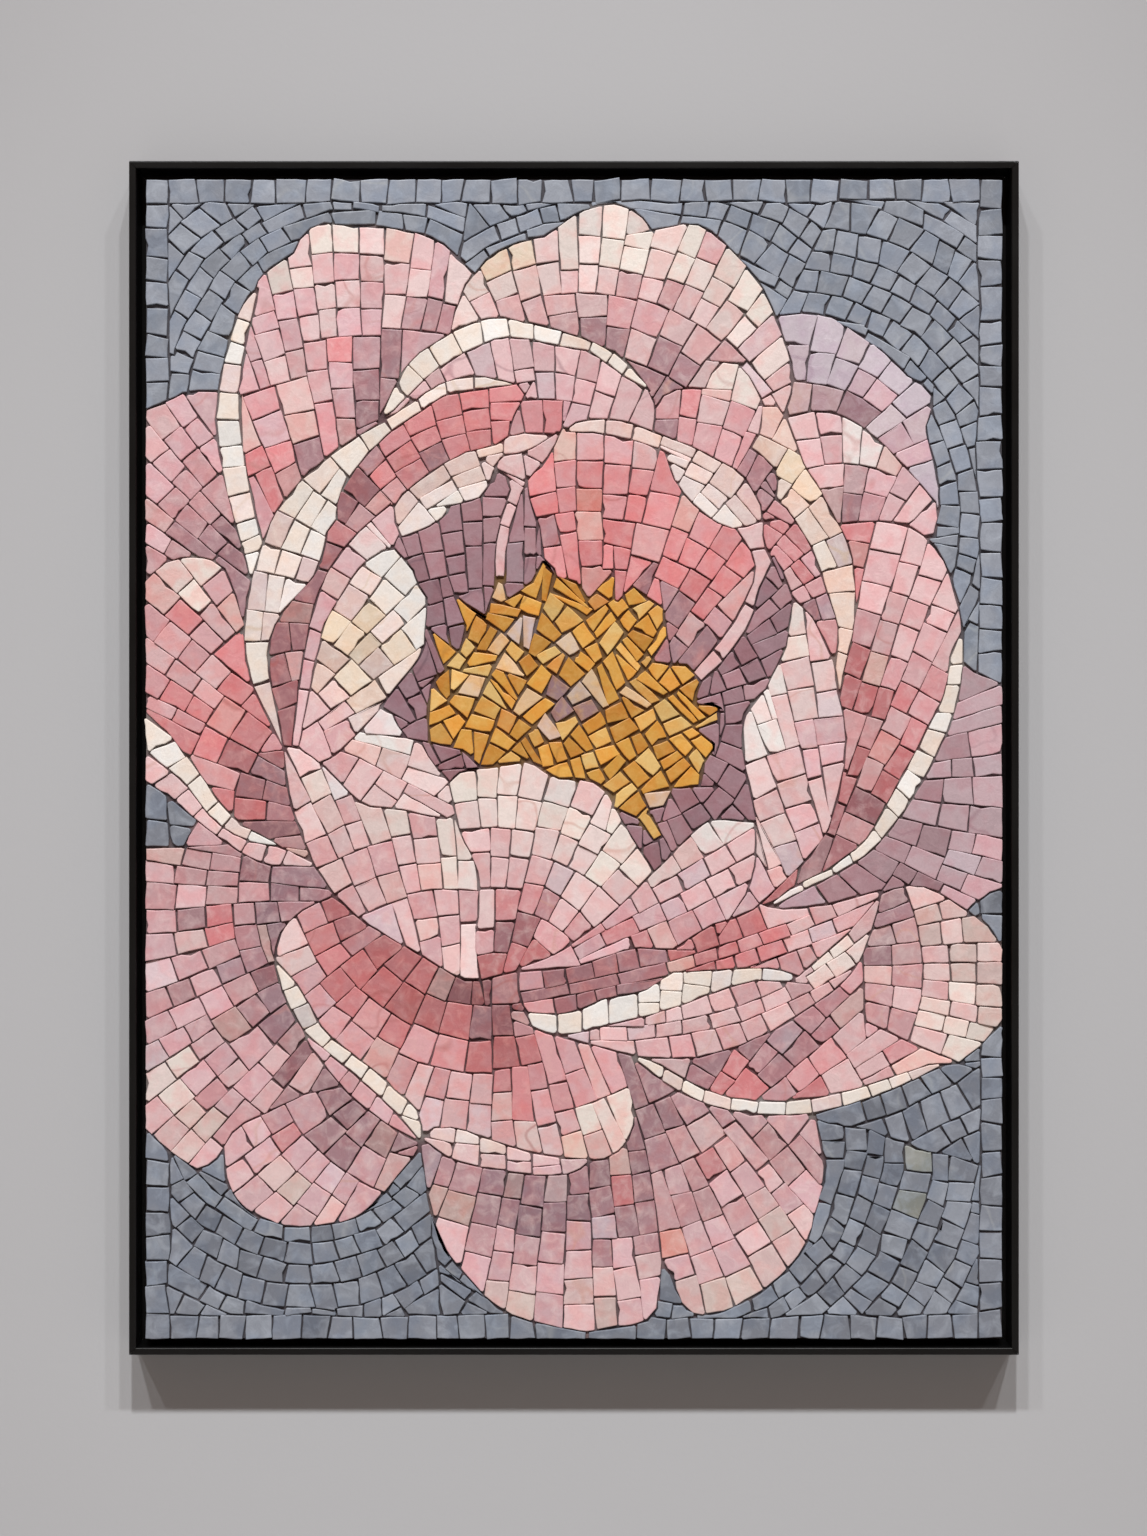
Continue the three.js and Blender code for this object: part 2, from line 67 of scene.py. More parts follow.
WELD = 0.02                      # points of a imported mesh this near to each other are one
FACING = 0.9                     # a face looks along an axis where its normal comes this near to it
LONG_EDGE = 0.3                  # in metres: a rail's long edges, not those across it
LIP_ROUND = 1.2                  # the edges this near the frame's front are rounded
LIP_RADIUS = 0.35
JOINT = 0.22                     # between two stones of a petal; the ground's joints are wider
CORNERWISE = 1.3                 # a corner goes in along its middle, so this much further
ARRIS = 0.5                      # the broken edge round a stone's face
ROUNDING = ((0.45, 0.7), (0.85, 0.3))    # its two steps, inward and upward
# Where an outline turns by more than an angle it is worn this far back: thin tips first, then corners.
CORNERS = ((math.radians(128), 4.0), (math.radians(104), 1.8), (math.radians(38), 0.75))
LEAST_EDGE = 0.4                 # shorter edges than this are taken out
CRUMB = 14.0                     # a stone smaller than this, in square millimetres, is left out
RAGGED = 0.28                    # how far a hand-cut outline strays
CHIPPED = 0.25                   # the share of stones with a chipped corner
VEINED = 0.2                     # the share of stones with a vein across them
SHRUNK = 0.065                   # the most that a stone is cut short of its place, and a loose stone
LOOSE_SHORT = 0.4                # is cut shorter still, by this much of its area's looseness
TILT, PROUD = 0.04, 0.3          # a stone's slope, and how far its face stands off the next one's
TALLEST = 0.9                    # no corner stands further out than this
UPWARD = 0.7                     # a stone's face, and not its side, looks this far up
CHIP = (0.8, 2.0)                # how far a chipped corner is worn back
VEIN_DEPTH = (0.4, 1.0)
BED_DEPTH = 2.3                  # the mortar has squeezed up between the stones to here below their faces
STONE_W, STONE_H = 16.5, 20.5    # a petal stone, across its row and along it
OUTLINE_STEP = 9.0               # long straight outlines are divided to this before they are bent
NUDGES = (0, 0.11, -0.11, 0.22, -0.22)   # places tried for a cut, as parts of a stone
NUDGE_COST = 0.15                # a place further from the middle has to be this much fairer
FEW_PARTS = 3                    # only the cuts of so few parts are nudged
CUT_STRAY = 0.13                 # how far by chance a cut is moved, as a part of a stone
NEAR_POLE = 6.0                  # a fan is never taken as narrower than it is here
FAR = 9000.0                     # a pole so far off that its fan is a straight row
BORDER_STONE = (18.0, 17.0)
SWAY_SPAN = 48.0                 # the length over which a row wanders
SHORT_SPAN = 15.0                # and the length over which it wavers from stone to stone
WAVER = 0.4                      # how far it wavers, to how far it wanders
UNSWAYINGS = 4                   # the rounds in which a swayed place is brought back
LONG_CUT = 22.0                  # a cut longer than this strays from true by less
SIDE_STEP = 8.0                  # a stone's longer sides are divided to this, so that they can be ragged
LENGTHWISE = 0.35                # the share of shards that are split along their length
SHARD_OVER = 1.5                 # a shard this many times too large is broken again
SHARD_SPLIT = 3.2                # and one under this many may be split along its length
SHARD_STRAY = 0.05               # how far by chance its break is moved, as a part of its span
TOO_LONG = 1.42                  # a piece this many stones long is cut
TOO_FULL = 1.35                  # if it is also this many stones in area,
FAR_TOO_LONG = 2.1               # or is this many stones long
ALWAYS_FULL = 9                  # a single row is cut by its length alone
NARROWING = 1.7                  # a fan's far end to its near end, where it is cut round and not outwards,
NARROW_COLUMNS, LONG_ROWS = 4.2, 2.5     # if it is under so many stones across and over so many long
STRAIGHT = math.radians(7)       # an outline that turns by less is made straight
SHORT_SIDE = 1.3                 # and sides shorter than this are taken out


# ---- colours ----
def linear(colour):
    """An sRGB hex colour as linear red, green and blue."""
    parts = [int(colour[i:i + 2], 16) / 255 for i in (1, 3, 5)]
    return Vector([c / 12.92 if c <= 0.04045 else ((c + 0.055) / 1.055) ** 2.4 for c in parts])


MARBLES = {name: linear(colour) for name, colour in {
    "white": "#ede9e5", "cream": "#e9dfd6", "sand": "#e6d1b8", "peach": "#e7c9bc", "blush": "#e5cdcb",
    "fawn": "#d4bfb8", "pink": "#debbbc", "orchid": "#d7b0b6", "rose": "#d5a5a9", "flush": "#de9194",
    "salmon": "#da9384", "coral": "#cf8588", "red": "#b87375", "lilac": "#cabdc6", "heather": "#bca3a9",
    "dusty": "#c59c9f", "mauve": "#b28b91", "plum": "#a07c83", "wine": "#956a70", "claret": "#8a5a5f",
    "grape": "#93757e",
    "mist": "#9297a2", "slate": "#8b909a", "steel": "#7f838d", "storm": "#737781", "olive": "#8f8f84",
    "gold": "#d9a045", "straw": "#dfb974", "ochre": "#c48a35", "brick": "#bd7a5c",
}.items()}


def ramp(colours, t):
    """The marble at t from 0, the first colour, to 1, the last."""
    place = min(max(t, 0.0), 1.0) * (len(colours) - 1)
    first = min(int(place), len(colours) - 2)
    return MARBLES[colours[first]].lerp(MARBLES[colours[first + 1]], place - first)


# ---- how each area is laid ----
# pole is the point that the rows of stones fan out from, and colours run from the pole outwards.
# A touch is (marble, place, reach): round that place the stones turn to that marble.
# stone is (across, along), and wild is how far in degrees a cut strays from true.
# A single area is one row of stones, and loose is how far in radians a stone is turned from its row.
def area(pole, colours, touches=(), stone=(STONE_W, STONE_H), wild=5.0, along_first=False,
         mixed=False, single=False, scattered=False, loose=0.028, sway=1.8, joint=JOINT,
         strays=("pink", "rose", "blush", "lilac", "peach")):
    return dict(pole=Vector(pole), colours=colours, touches=touches, stone=stone, wild=wild,
                along_first=along_first, mixed=mixed, single=single, scattered=scattered,
                loose=loose, sway=sway, joint=joint, strays=strays)


def rim(pole, colours=("white", "cream", "cream")):
    """A petal's pale edge: one row of stones."""
    return area(pole, colours, stone=(18.0, 16.0), single=True, mixed=True)


def ground(pole, colours, touches=()):
    """Ground round the flower, laid more freely and with wider joints."""
    return area(pole, colours, touches, stone=(16.0, 16.0), wild=9.0, along_first=True, mixed=True,
                loose=0.05, sway=3.8, joint=0.38, strays=("mist", "slate", "steel"))


OLIVES = [("olive", (520, 128), 9), ("olive", (514, 92), 9), ("fawn", (116, 25), 7)]
# the upper ground is paler than the lower: partly its own paler stones, partly painted light, brighter
# towards the top as the lamps fall
UPPER_SLATES = ["mist", "mist", "mist", "slate", "slate"]
LOWER_SLATES = ["slate", "steel", "steel", "steel", "storm"]
GOLDS = ["gold", "gold", "gold", "gold", "straw", "ochre", "ochre"]

AREAS = {
    "petal_left_back": area((150, 450), ["plum", "mauve", "dusty", "orchid", "pink"], [
        ("plum", (62, 525), 22)]),
    "petal_right_back": area((440, 570), ["mauve", "orchid", "lilac", "lilac", "lilac"], [
        ("plum", (447, 636), 13), ("plum", (470, 631), 13), ("orchid", (515, 600), 20)]),
    "petal_far_right": area((400, 375), ["plum", "plum", "heather", "heather", "orchid"], [
        ("plum", (505, 312), 24), ("wine", (460, 310), 14)], strays=("plum", "lilac", "heather")),
    "petal_low_left_back": area((190, 300), ["wine", "wine", "plum", "dusty", "orchid", "pink", "fawn"], [
        ("grape", (98, 292), 24), ("plum", (74, 262), 15), ("grape", (95, 225), 18),
        ("wine", (104, 200), 13), ("plum", (122, 178), 12), ("coral", (52, 278), 12),
        ("cream", (20, 170), 20)]),
    "petal_low_left_lobe": area((200, 210), ["plum", "mauve", "orchid", "orchid", "pink"], [
        ("plum", (152, 142), 26), ("plum", (172, 112), 18), ("coral", (92, 138), 10),
        ("sand", (78, 150), 8), ("fawn", (94, 106), 17)]),
    "petal_upper_left": area((150, 440), ["coral", "coral", "flush", "orchid", "orchid", "pink", "blush"], [
        ("pink", (108, 652), 22), ("pink", (96, 640), 14), ("blush", (128, 700), 16),
        ("plum", (160, 650), 22), ("plum", (152, 620), 18), ("plum", (108, 585), 12),
        ("mauve", (190, 690), 16), ("cream", (100, 722), 14), ("cream", (132, 745), 12)]),
    "rim_upper_left": rim((260, 620)),
    "petal_upper_centre": area((300, 560), ["mauve", "mauve", "dusty", "pink", "blush", "cream", "cream"], [
        ("plum", (352, 655), 22), ("plum", (300, 680), 13), ("plum", (275, 690), 9),
        ("rose", (326, 703), 15), ("orchid", (352, 694), 14), ("sand", (240, 735), 14)]),
    "petal_centre_fold": area((350, 480), ["dusty", "rose", "rose", "blush"], [
        ("plum", (352, 620), 13), ("plum", (417, 582), 20), ("coral", (366, 634), 9),
        ("cream", (396, 650), 13)]),
    "petal_right_small": area((470, 500), ["mauve", "orchid", "pink", "orchid", "blush"], [
        ("white", (482, 606), 13), ("plum", (476, 566), 15), ("pink", (466, 584), 9)]),
    "petal_right_big": area((425, 240), ["red", "wine", "red", "coral", "rose", "pink", "pink"], [
        ("red", (474, 424), 26), ("coral", (476, 500), 16), ("coral", (478, 535), 16),
        ("pink", (536, 518), 17), ("pink", (526, 470), 14), ("red", (480, 460), 16)]),
    "rim_right_big": rim((430, 440)),
    "rim_right_long": area((380, 500), ["cream", "peach", "peach", "pink"], [
        ("sand", (447, 582), 14)], stone=(20, 13)),
    "petal_left_middle": area((170, 350), ["wine", "red", "coral", "coral", "rose", "pink", "peach"], [
        ("plum", (84, 368), 18), ("wine", (100, 345), 16), ("coral", (60, 470), 14),
        ("rose", (66, 486), 14), ("cream", (32, 512), 16)]),
    "rim_left_middle": rim((150, 480)),
    "turn_left_middle": rim((150, 480), ["pink", "pink"]),
    "petal_bottom_left": area((290, 350), ["plum", "plum", "plum", "mauve", "orchid", "pink", "fawn"], [
        ("grape", (208, 104), 24), ("grape", (240, 98), 26), ("grape", (275, 98), 28),
        ("plum", (312, 100), 24), ("coral", (318, 98), 7)]),
    "petal_bottom_right": area((300, 270), ["wine", "plum", "mauve", "dusty", "orchid", "pink", "fawn"], [
        ("plum", (345, 160), 24), ("mauve", (380, 150), 18), ("coral", (385, 122), 16),
        ("salmon", (355, 64), 8), ("mist", (372, 146), 7)]),
    "petal_low_right": area((380, 250), ["dusty", "dusty", "pink", "fawn", "fawn"], [
        ("plum", (500, 298), 14), ("plum", (499, 280), 14), ("plum", (496, 262), 14),
        ("plum", (487, 250), 9), ("rose", (503, 222), 13), ("cream", (558, 206), 17),
        ("cream", (535, 218), 10), ("cream", (560, 236), 10)], stone=(14.5, 19)),
    "petal_low_right_front": area((330, 90), ["mauve", "rose", "coral", "rose", "orchid"], [
        ("plum", (372, 205), 22), ("plum", (374, 186), 18), ("plum", (415, 205), 24),
        ("plum", (445, 216), 22), ("mauve", (470, 225), 14), ("coral", (398, 178), 13),
        ("coral", (415, 172), 10), ("pink", (480, 190), 22), ("peach", (530, 194), 14)]),
    "rim_low_right": rim((430, 400)),
    "petal_low_left": area((235, 330), ["wine", "red", "coral", "rose", "rose", "pink", "peach"], [
        ("blush", (108, 268), 16), ("claret", (226, 230), 28), ("claret", (246, 222), 22),
        ("plum", (215, 208), 14), ("red", (240, 196), 16), ("coral", (245, 176), 20),
        ("red", (155, 255), 22), ("coral", (130, 268), 14), ("coral", (158, 216), 16),
        ("red", (182, 224), 20), ("pink", (232, 158), 13), ("blush", (270, 136), 13),
        ("cream", (312, 152), 15), ("red", (200, 212), 13), ("orchid", (110, 235), 18)]),
    "rim_low_left": rim((230, 290)),
    "turn_low_left": rim((230, 290), ["dusty", "rose", "orchid"]),
    "rim_low_centre": area((250, 420), ["white", "pink", "orchid"], stone=(20, 9)),
    "boat_inside": area((170, 960), ["red", "coral", "rose", "rose"], [
        ("wine", (300, 242), 30), ("plum", (334, 254), 22), ("red", (372, 262), 18),
        ("coral", (410, 268), 20), ("pink", (460, 290), 30)], stone=(17, 14), along_first=True),
    "boat_turn": area((316, 483), ["orchid", "pink", "pink", "rose"], [
        ("cream", (478, 268), 14), ("cream", (465, 250), 10),
        ("dusty", (440, 228), 12)], stone=(18, 12.5), along_first=True),
    "boat_rim": rim((330, -400)),
    "petal_cup_right": area((490, 200), ["orchid", "pink", "blush", "blush", "pink"], [
        ("white", (416, 400), 18), ("white", (420, 440), 14), ("blush", (424, 336), 14),
        ("cream", (440, 480), 16), ("orchid", (455, 400), 24), ("rose", (430, 310), 14)]),
    "fold_right": area((370, 470), ["rose", "coral", "dusty"], [("plum", (457, 497), 12)], stone=(19, 10)),
    "well_right": area((330, 420), ["plum", "grape"],
        stone=(14, 17), joint=0.45, strays=("mauve", "wine", "dusty")),
    "ring_upper": area((270, 520), ["coral", "orchid", "pink", "pink", "orchid"], [
        ("coral", (268, 622), 12), ("pink", (320, 640), 18)]),
    "rim_ring_upper": rim((255, 560), ["cream", "white", "cream"]),
    "ring_inner": area((245, 480), ["red", "mauve", "coral", "flush", "coral"], [
        ("wine", (100, 450), 50), ("wine", (115, 505), 30), ("wine", (136, 572), 22),
        ("plum", (200, 600), 10), ("coral", (210, 625), 30)], stone=(19, 15)),
    "rim_ring_left": area((240, 480), ["white", "white", "cream", "cream", "blush"], [
        ("peach", (79, 545), 8), ("peach", (87, 565), 8), ("peach", (96, 583), 8),
        ("pink", (112, 604), 8)], stone=(22, 13)),
    "cup_left_outer": area((270, 420), ["rose", "orchid", "pink"], [
        ("white", (158, 538), 13)], stone=(20, 14)),
    "cup_left_inner": area((60, 380), ["rose", "pink", "sand", "cream", "white"], [
        ("sand", (150, 485), 12), ("white", (184, 490), 12), ("white", (180, 510), 12),
        ("white", (172, 455), 12), ("white", (170, 528), 10), ("white", (158, 420), 9)]),
    "cup_left_lower": area((90, 420), ["rose", "blush", "blush"], [
        ("white", (158, 414), 13), ("white", (172, 402), 10)]),
    "well_left": area((238, 320), ["wine", "plum", "grape", "plum", "mauve"],
        stone=(14, 17), joint=0.45, strays=("mauve", "wine", "dusty")),
    "lip_upper_left": area((262, 480), ["white", "blush", "peach"], stone=(24, 10)),
    "well_top": area((258, 300), ["plum", "plum", "mauve"]),
    "strip_inner_left": area((600, 420), ["pink", "pink"], stone=(18, 16)),
    "petal_inner_top": area((305, 400), ["wine", "wine", "coral", "flush", "flush", "rose", "rose"], [
        ("salmon", (300, 568), 16), ("plum", (365, 478), 20), ("mauve", (271, 553), 9),
        ("plum", (290, 512), 14), ("peach", (284, 597), 9)]),
    "rim_inner_right": area((330, 530), ["pink", "pink"], stone=(20, 14)),
    "lip_inner_right": area((310, 480), ["white", "blush", "peach"], [
        ("pink", (405, 575), 12)], stone=(22, 10)),
    "cup_front_left": area((215, 150), ["orchid", "rose", "pink", "blush", "pink"], [
        ("cream", (212, 338), 16), ("cream", (213, 308), 16), ("white", (213, 280), 12),
        ("blush", (212, 254), 10), ("cream", (160, 350), 14), ("white", (120, 378), 12),
        ("rose", (186, 298), 15), ("rose", (206, 268), 9)]),
    "cup_front_centre": area((235, 215), ["red", "coral", "rose", "pink", "blush", "cream", "cream"], [
        ("wine", (250, 284), 15), ("red", (256, 296), 17)]),
    "cup_front_right": area((150, 190), ["coral", "rose", "orchid", "pink", "pink"], [
        ("white", (390, 342), 15), ("cream", (352, 320), 12), ("rose", (362, 286), 13),
        ("pink", (346, 302), 11), ("coral", (326, 274), 10)]),
    "stamens": area((275, 590), GOLDS, [
        ("brick", (362, 468), 12), ("grape", (286, 431), 13), ("cream", (266, 416), 9),
        ("cream", (342, 366), 9), ("lilac", (257, 485), 7)],
        stone=(10.5, 15.5), wild=20.0, mixed=True, scattered=True, loose=0.09, joint=0.9,
        strays=("straw", "straw", "cream", "brick")),
    "ground_left": ground((200, 355), LOWER_SLATES, OLIVES),
    "ground_right": ground((440, 285), LOWER_SLATES, OLIVES),
    "ground_upper": ground((330, 560), UPPER_SLATES),
    "ground_lower_left": ground((110, 170), LOWER_SLATES, OLIVES),
    "ground_lower_right": ground((370, 130), LOWER_SLATES, OLIVES),
}

# A ground is laid in sectors, each with rows round the lobe next to it: (line, pole beyond the line).
# A line is a point and the direction that it looks in.
SECTORS = {
    "ground_upper": [((215, 740), (-1, 0.2), (150, 630)), ((432, 700), (1, -0.5), (430, 560)),
                     ((540, 620), (0.2, -1), (330, 520))],
    "ground_lower_left": [((192, 100), (1, 0.1), (292, 150))],
    "ground_lower_right": [((455, 150), (0.3, 1), (440, 340))],
}
BORDER = 16.0                    # the straight row of stones along the picture's edge


# ---- cutting ----
def to_face(node):
    """The slab's front outline as one flat face, in picture millimetres, in a new bmesh."""
    bm = bmesh.new()
    bm.from_mesh(nodes[node].data)
    bmesh.ops.remove_doubles(bm, verts=bm.verts, dist=WELD * MM)
    bm.normal_update()
    bmesh.ops.delete(bm, geom=[f for f in bm.faces if f.normal.y > -FACING], context="FACES")
    bmesh.ops.dissolve_faces(bm, faces=bm.faces[:])
    turn = Matrix(((1, 0, 0, -PICTURE.x), (0, 0, 1, -PICTURE.y), (0, 0, 0, 0), (0, 0, 0, 1)))
    bm.transform(turn @ Matrix.Diagonal((1 / MM, 1 / MM, 1 / MM, 1)))
    return bm


def divide(bm, step):
    """Divides every edge that is longer than the step, and leaves the faces whole."""
    for edge in bm.edges[:]:
        for part in range(math.ceil(edge.calc_length() / step), 1, -1):
            bmesh.utils.edge_split(edge, edge.verts[0], 1 / part)


def in_order(items):
    """Faces by where they lie, so that every run gives each the same share of the dice."""
    return sorted(items, key=lambda face: tuple(round(c, 2) for c in face.calc_center_median()))


def cut(bm, face, point, look):
    """Cuts a face along the line through point and returns what lies before it and behind it."""
    geom = [face, *face.edges, *face.verts]
    done = bmesh.ops.bisect_plane(bm, geom=geom, dist=1e-4, plane_co=point, plane_no=look)
    faces = in_order(f for f in done["geom"] if isinstance(f, bmesh.types.BMFace))
    ahead = [f for f in faces if (f.calc_center_median() - point).dot(look) > 0]
    return ahead, [f for f in faces if f not in ahead]


def swayed(place, amount):
    """A place drawn a little aside, as a row laid by eye wanders from its line."""
    drift = noise.noise_vector(place / SWAY_SPAN) + noise.noise_vector(place / SHORT_SPAN) * WAVER
    return place + Vector((drift.x, drift.y, 0)) * amount


def unswayed(place, amount):
    """The place that swayed would have drawn here."""
    before = place.copy()
    for _ in range(UNSWAYINGS):
        before += place - swayed(before, amount)
    return before


def share(face, point, look):
    """How much of a face lies before a line, from 0 to 1."""
    ring = [vert.co - point for vert in face.verts]
    kept = []
    for here, after in zip(ring, ring[1:] + ring[:1]):
        a, b = here.dot(look), after.dot(look)
        if a >= 0:
            kept.append(here)
        if (a > 0) != (b > 0) and a != b:
            kept.append(here.lerp(after, a / (a - b)))
    twice = sum(a.x * b.y - a.y * b.x for a, b in zip(kept, kept[1:] + kept[:1]))
    return abs(twice) / 2 / max(face.calc_area(), 1e-6)


def bend(verts, pole, straight, reach):
    """Unrolls a fan round its pole: x runs round it, true to length at the reach, and y runs outwards."""
    for vert in verts:
        arm = vert.co.xy - pole
        turn = math.remainder(math.atan2(arm.y, arm.x) - straight, math.tau)
        vert.co = (turn * reach, arm.length, 0)


def unbend(verts, pole, straight, reach):
    """Rolls the fan up again."""
    for vert in verts:
        turn = vert.co.x / reach + straight
        vert.co = (pole.x + vert.co.y * math.cos(turn), pole.y + vert.co.y * math.sin(turn), 0)


def halve(bm, face, way, parts, wild, rng):
    """Cuts a face across x (way 0) or along y (way 1), near the middle one of so many equal parts."""
    values = [vert.co[way] for vert in face.verts]
    low, high = min(values), max(values)
    step = (high - low) / parts
    whole = parts // 2 + (parts % 2) * rng.choice((0, 1))
    others = [vert.co[1 - way] for vert in face.verts]
    stray = math.radians(wild * min(1.0, LONG_CUT / max(max(others) - min(others), 1.0)))
    choices = []
    for nudge in NUDGES[:1] if parts > FEW_PARTS else NUDGES:
        point = face.calc_center_median()
        point[way] = low + (whole + nudge + rng.uniform(-CUT_STRAY, CUT_STRAY)) * step
        look = Vector((1 - way, way, 0))
        look.rotate(Matrix.Rotation(rng.uniform(-stray, stray), 3, "Z"))
        unfair = abs(share(face, point, look) - (parts - whole) / parts)
        choices.append((unfair + abs(nudge) * NUDGE_COST, point, look))
    return cut(bm, face, *min(choices, key=lambda choice: choice[0])[1:])


def scatter(bm, face, shard, wild, rng):
    """Breaks a face into shards of about the given area, each cut crossing the piece where it is longest."""
    todo = [face]
    while todo:
        face = todo.pop()
        if face.calc_area() < SHARD_OVER * shard:
            continue
        side = max(face.edges, key=lambda edge: edge.calc_length())
        along = (side.verts[1].co - side.verts[0].co).normalized()
        along = -along if along.x < 0 else along
        across = Vector((-along.y, along.x, 0))
        spans = [max(v.co.dot(axis) for v in face.verts) - min(v.co.dot(axis) for v in face.verts)
                 for axis in (along, across)]
        lengthwise = face.calc_area() < SHARD_SPLIT * shard and rng.random() < LENGTHWISE
        axis, span = (along, spans[0]) if (spans[0] > spans[1]) != lengthwise else (across, spans[1])
        look = Matrix.Rotation(math.radians(rng.uniform(-wild, wild)), 3, "Z") @ axis
        tries = []
        for nudge in NUDGES:
            moved = nudge + rng.uniform(-SHARD_STRAY, SHARD_STRAY)
            point = face.calc_center_median_weighted() + axis * span * moved
            tries.append((abs(share(face, point, look) - 0.5), point))
        ahead, behind = cut(bm, face, min(tries, key=lambda one: one[0])[1], look)
        todo += ahead + behind if ahead and behind else []


def lay(bm, face, plan, stone, reach, rng):
    """Cuts an unrolled face into stones of about the given size."""
    todo = [face]
    while todo:
        face = todo.pop()
        xs, ys = [v.co.x for v in face.verts], [v.co.y for v in face.verts]
        stretch = max((min(ys) + max(ys)) / 2, NEAR_POLE) / reach
        columns = (max(xs) - min(xs)) * stretch / stone[0]
        rows = (max(ys) - min(ys)) / stone[1]
        full = ALWAYS_FULL if plan["single"] else face.calc_area() * stretch / (stone[0] * stone[1])
        longest = max(columns, rows)
        if longest < TOO_LONG or full < TOO_FULL and longest < FAR_TOO_LONG:
            continue
        narrows = (max(ys) > NARROWING * max(min(ys), 1.0)
                   and columns < NARROW_COLUMNS and rows > LONG_ROWS)
        if plan["along_first"]:
            way = 1 if rows > TOO_LONG else 0
        else:
            way = 0 if columns > TOO_LONG and not narrows else 1
        parts = max(2, round((columns, rows)[way]))
        ahead, behind = halve(bm, face, way, parts, plan["wild"], rng)
        if ahead and behind:
            todo += ahead + behind


def fans(bm, node, plan):
    """Parts an area into the faces that are laid round one pole each: (face, pole, stone)."""
    done = []
    if node.startswith("ground"):
        for point, look in (((BORDER, 0), (-1, 0)), ((PIC_W - BORDER, 0), (1, 0)),
                            ((0, BORDER), (0, -1)), ((0, PIC_H - BORDER), (0, 1))):
            taken = [fan[0] for fan in done]
            for face in in_order(f for f in bm.faces if f not in taken):
                ahead, _ = cut(bm, face, Vector((*point, 0)), Vector((*look, 0)))
                done += [(f, f.calc_center_median_weighted().xy + Vector(look) * FAR, BORDER_STONE)
                         for f in ahead]
    taken = [fan[0] for fan in done]
    rest = in_order(f for f in bm.faces if f not in taken)
    for point, look, pole in SECTORS.get(node, []):
        behind = []
        for face in rest:
            ahead, others = cut(bm, face, Vector((*point, 0)), Vector((*look, 0)).normalized())
            done += [(f, Vector(pole), plan["stone"]) for f in ahead]
            behind += others
        rest = behind
    return done + [(f, plan["pole"], plan["stone"]) for f in rest]


def cut_stones(node, rng):
    """One area's outline cut into its stones, each a flat face of its own, in picture millimetres."""
    plan = AREAS[node]
    bm = to_face(node)
    divide(bm, OUTLINE_STEP)
    for vert in bm.verts:
        vert.co = swayed(vert.co, plan["sway"])
    laid = fans(bm, node, plan)
    divide(bm, OUTLINE_STEP)
    bmesh.ops.split_edges(bm, edges=[e for e in bm.edges if len(e.link_faces) > 1])
    for face, pole, stone in laid:
        if plan["scattered"]:
            scatter(bm, face, stone[0] * stone[1], plan["wild"], rng)
            continue
        arm = face.calc_center_median_weighted().xy - pole
        straight, reach = math.atan2(arm.y, arm.x), arm.length
        before = set(bm.verts)
        own = list(face.verts)
        bend(own, pole, straight, reach)
        lay(bm, face, plan, stone, reach, rng)
        unbend(own + [v for v in bm.verts if v not in before], pole, straight, reach)
    for vert in bm.verts:
        vert.co = unswayed(vert.co, plan["sway"])
    if not plan["single"]:
        join_slivers(bm)
        cut_through(bm)
    bmesh.ops.split_edges(bm, edges=[e for e in bm.edges if len(e.link_faces) > 1])
    bmesh.ops.dissolve_limit(bm, angle_limit=STRAIGHT, verts=bm.verts, edges=bm.edges)
    bmesh.ops.dissolve_degenerate(bm, dist=SHORT_SIDE, edges=bm.edges)
    return bm


LEAST_AREA = 55.0                # the smallest stone, in square millimetres
LEAST_OFFCUT = 0.8               # and the smallest part of one at an inner corner, as a share of it
LEAST_GIRTH = 1.75               # its area over its girth: about half the width of a thin one
INNER_CORNER = math.radians(35)  # a stone is not cut round a sharper inner corner than this
LEAST_SIDE = 5.0                 # a stone is joined along a side at least this long
PALE = 0.66                      # a stone as pale as this varies less from the next one,
PALE_SHADE = 0.55                # by this much
RANGE_STRAY = 0.12               # how far a colour strays along its area's range
TOUCH_EDGE = (0.8, 1.15)         # a touch ends raggedly, at this much of its reach,
TOUCH_BLEND = (0.0, 0.3)         # and keeps this much of the colour under it
STRAYS, STRAY_BLEND = 0.25, (0.2, 0.6)   # the share of odd stones, and how odd they are
SHADES = (0.86, 1.1)             # from the darkest stone of a colour to the palest


def join_slivers(bm):
    """Joins each stone that is too small or thin to cut to the one that it shares its longest side with."""
    for face in sorted(bm.faces, key=lambda one: one.calc_area()):
        if not face.is_valid:
            continue
        size = face.calc_area()
        if size > LEAST_AREA and size / face.calc_perimeter() > LEAST_GIRTH:
            continue
        shared = {}
        for edge in face.edges:
            for other in edge.link_faces:
                if other != face:
                    shared[other] = shared.get(other, 0) + edge.calc_length()
        if shared and max(shared.values()) > LEAST_SIDE:
            bmesh.utils.face_join((face, max(shared, key=lambda one: shared[one])))


def cut_through(bm):
    """Cuts a stone that goes round an inner corner into two there, where both are worth having."""
    bm.normal_update()
    todo = in_order(bm.faces)
    while todo:
        face = todo.pop()
        size = face.calc_area()
        ways = []
        for loop in face.loops:
            here = loop.vert.co
            sides = (here - loop.link_loop_prev.vert.co, loop.link_loop_next.vert.co - here)
            turn = math.atan2(sides[0].cross(sides[1]).z, sides[0].dot(sides[1])) * face.normal.z
            if turn > -INNER_CORNER:
                continue
            for side in sides:
                look = Vector((-side.y, side.x, 0)).normalized()
                smaller = min(share(face, here, look), 1 - share(face, here, look)) * size
                if smaller > LEAST_AREA * LEAST_OFFCUT:
                    ways.append((round(smaller, 2), here.copy(), look))
        if ways:
            ahead, behind = cut(bm, face, *max(ways, key=lambda way: way[0])[1:])
            todo += ahead + behind if ahead and behind else []


